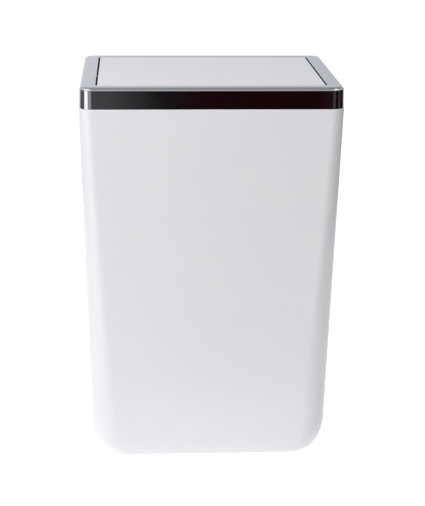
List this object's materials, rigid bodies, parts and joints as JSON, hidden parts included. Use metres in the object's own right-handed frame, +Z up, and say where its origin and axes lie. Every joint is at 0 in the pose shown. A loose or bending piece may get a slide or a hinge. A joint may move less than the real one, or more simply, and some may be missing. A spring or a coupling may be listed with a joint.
{
  "type": "waste bin with push flap lid",
  "caption": "Tapered waste bin with rounded corners and base. A lift-off lid has a bright plated collar round a flush flap, which tips inwards on side pivots and falls shut by its own weight.",
  "frame": {"origin": "on the floor, under the middle of the bin", "axes": "+Z up, -Y is the front, +X is the right side seen from the front"},
  "size_m": [0.2374, 0.196, 0.362],
  "materials": {
    "white_bucket": "glossy white moulded plastic",
    "white_flap": "glossy white moulded plastic",
    "white_frame": "satin white moulded plastic",
    "chrome_plating": "bright chrome plating over moulded ABS",
    "bush_acetal": "natural acetal",
    "pin_steel": "drawn steel rod",
    "screw_steel": "zinc plated steel",
    "bumper_rubber": "soft grey elastomer"
  },
  "bodies": {
    "bin": {"bin_body": "white_bucket"},
    "lid": {"lid_carrier": "white_frame", "chrome_collar": "chrome_plating", "collar_screws": "screw_steel", "pivot_bush_left": "bush_acetal", "pivot_bush_right": "bush_acetal", "closing_bumper_left": "bumper_rubber", "closing_bumper_right": "bumper_rubber"},
    "flap": {"flap_panel": "white_flap", "flap_underpan": "white_flap", "flap_screws": "screw_steel", "pivot_pin_left": "pin_steel", "pivot_pin_right": "pin_steel"}
  },
  "joints": [
    {"name": "lid_lift", "type": "slide", "parent": "bin", "child": "lid", "axis": [0, 0, 1], "range_m": [0, 0.12]},
    {"name": "flap_swing", "type": "hinge", "parent": "lid", "child": "flap", "pos_m": [0, -0.004, 0.3565], "axis": [1, 0, 0], "range_deg": [0, 75]}
  ]
}
